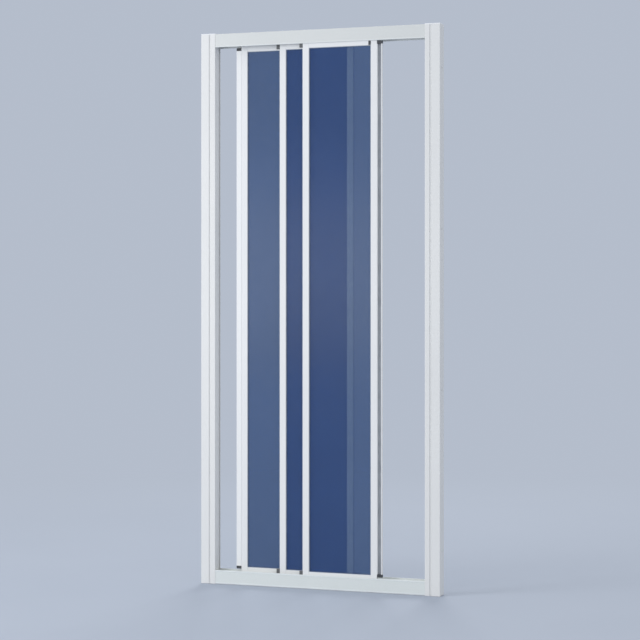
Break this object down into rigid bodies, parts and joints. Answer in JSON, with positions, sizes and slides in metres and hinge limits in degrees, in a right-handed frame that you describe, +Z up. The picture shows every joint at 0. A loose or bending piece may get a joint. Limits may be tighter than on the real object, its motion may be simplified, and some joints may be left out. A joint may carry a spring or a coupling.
{
  "type": "sliding shower door",
  "caption": "White framed sliding shower door for a niche, with tinted panes in parallel tracks, handle strips on the outer panels and a way in on either side.",
  "frame": {"origin": "middle of the footprint, at the level of the shower tray", "axes": "+X along the door to the right seen from the room, the room side faces -Y, +Z up"},
  "size_m": [0.88, 0.05, 1.95],
  "materials": {
    "white_frame": "satin white powder coat",
    "pane": "blue-grey tinted toughened glass",
    "gasket": "soft grey glazing gasket",
    "seal": "soft pale grey seal",
    "roller": "turned nylon",
    "dark_plastic": "dark grey moulded nylon",
    "cap_plastic": "white moulded cap",
    "steel": "stainless steel"
  },
  "bodies": {
    "frame": {"adjuster_screws": "steel", "bottom_rail": "white_frame", "closing_seal_left": "seal", "closing_seal_right": "seal", "jamb_caps": "cap_plastic", "rail_screws": "steel", "side_post_left": "white_frame", "side_post_right": "white_frame", "sill_strip": "seal", "top_rail": "white_frame", "wall_profile_left": "white_frame", "wall_profile_right": "white_frame"},
    "panel_1": {"panel_1_axle_pins": "steel", "panel_1_bottom_profile": "white_frame", "panel_1_catches": "dark_plastic", "panel_1_edge_seals": "seal", "panel_1_glazing_gasket": "gasket", "panel_1_guide_shoes": "dark_plastic", "panel_1_handle_caps": "dark_plastic", "panel_1_handle_strip": "white_frame", "panel_1_hangers": "steel", "panel_1_pane": "pane", "panel_1_screws": "steel", "panel_1_stile_left": "white_frame", "panel_1_stile_right": "white_frame", "panel_1_top_profile": "white_frame"},
    "panel_1_roller_left": {"panel_1_roller_left": "roller"},
    "panel_1_roller_right": {"panel_1_roller_right": "roller"},
    "panel_2": {"panel_2_axle_pins": "steel", "panel_2_bottom_profile": "white_frame", "panel_2_catches": "dark_plastic", "panel_2_edge_seals": "seal", "panel_2_glazing_gasket": "gasket", "panel_2_guide_shoes": "dark_plastic", "panel_2_hangers": "steel", "panel_2_pane": "pane", "panel_2_screws": "steel", "panel_2_stile_left": "white_frame", "panel_2_stile_right": "white_frame", "panel_2_top_profile": "white_frame"},
    "panel_2_roller_left": {"panel_2_roller_left": "roller"},
    "panel_2_roller_right": {"panel_2_roller_right": "roller"},
    "panel_3": {"panel_3_axle_pins": "steel", "panel_3_bottom_profile": "white_frame", "panel_3_catches": "dark_plastic", "panel_3_edge_seals": "seal", "panel_3_glazing_gasket": "gasket", "panel_3_guide_shoes": "dark_plastic", "panel_3_handle_caps": "dark_plastic", "panel_3_handle_strip": "white_frame", "panel_3_hangers": "steel", "panel_3_pane": "pane", "panel_3_screws": "steel", "panel_3_stile_left": "white_frame", "panel_3_stile_right": "white_frame", "panel_3_stop": "dark_plastic", "panel_3_top_profile": "white_frame"},
    "panel_3_roller_left": {"panel_3_roller_left": "roller"},
    "panel_3_roller_right": {"panel_3_roller_right": "roller"}
  },
  "joints": [
    {"name": "panel_1_slide", "type": "slide", "parent": "frame", "child": "panel_1", "axis": [1, 0, 0], "range_m": [-0.0757, 0.399]},
    {"name": "panel_1_roller_left_spin", "type": "hinge", "parent": "panel_1", "child": "panel_1_roller_left", "pos_m": [-0.258, 0.0174, 1.9357], "axis": [0, 1, 0], "range_deg": [-562, 2878]},
    {"name": "panel_1_roller_right_spin", "type": "hinge", "parent": "panel_1", "child": "panel_1_roller_right", "pos_m": [-0.07, 0.0174, 1.9357], "axis": [0, 1, 0], "range_deg": [-562, 2878]},
    {"name": "panel_2_slide", "type": "slide", "parent": "frame", "child": "panel_2", "axis": [1, 0, 0], "range_m": [-0.222, 0.248]},
    {"name": "panel_2_roller_left_spin", "type": "hinge", "parent": "panel_2", "child": "panel_2_roller_left", "pos_m": [-0.107, 0.0024, 1.9357], "axis": [0, 1, 0], "range_deg": [-1610, 1796]},
    {"name": "panel_2_roller_right_spin", "type": "hinge", "parent": "panel_2", "child": "panel_2_roller_right", "pos_m": [0.081, 0.0024, 1.9357], "axis": [0, 1, 0], "range_deg": [-1610, 1796]},
    {"name": "panel_3_slide", "type": "slide", "parent": "frame", "child": "panel_3", "axis": [1, 0, 0], "range_m": [-0.313, 0.1617]},
    {"name": "panel_3_roller_left_spin", "type": "hinge", "parent": "panel_3", "child": "panel_3_roller_left", "pos_m": [-0.016, -0.0126, 1.9357], "axis": [0, 1, 0], "range_deg": [-2262, 1178]},
    {"name": "panel_3_roller_right_spin", "type": "hinge", "parent": "panel_3", "child": "panel_3_roller_right", "pos_m": [0.172, -0.0126, 1.9357], "axis": [0, 1, 0], "range_deg": [-2262, 1178]}
  ],
  "couplings": [
    {"joint": "panel_1_roller_left_spin", "follows": "panel_1_slide", "rad_per_m": 125},
    {"joint": "panel_1_roller_right_spin", "follows": "panel_1_slide", "rad_per_m": 125},
    {"joint": "panel_2_roller_left_spin", "follows": "panel_2_slide", "rad_per_m": 125},
    {"joint": "panel_2_roller_right_spin", "follows": "panel_2_slide", "rad_per_m": 125},
    {"joint": "panel_3_roller_left_spin", "follows": "panel_3_slide", "rad_per_m": 125},
    {"joint": "panel_3_roller_right_spin", "follows": "panel_3_slide", "rad_per_m": 125}
  ]
}
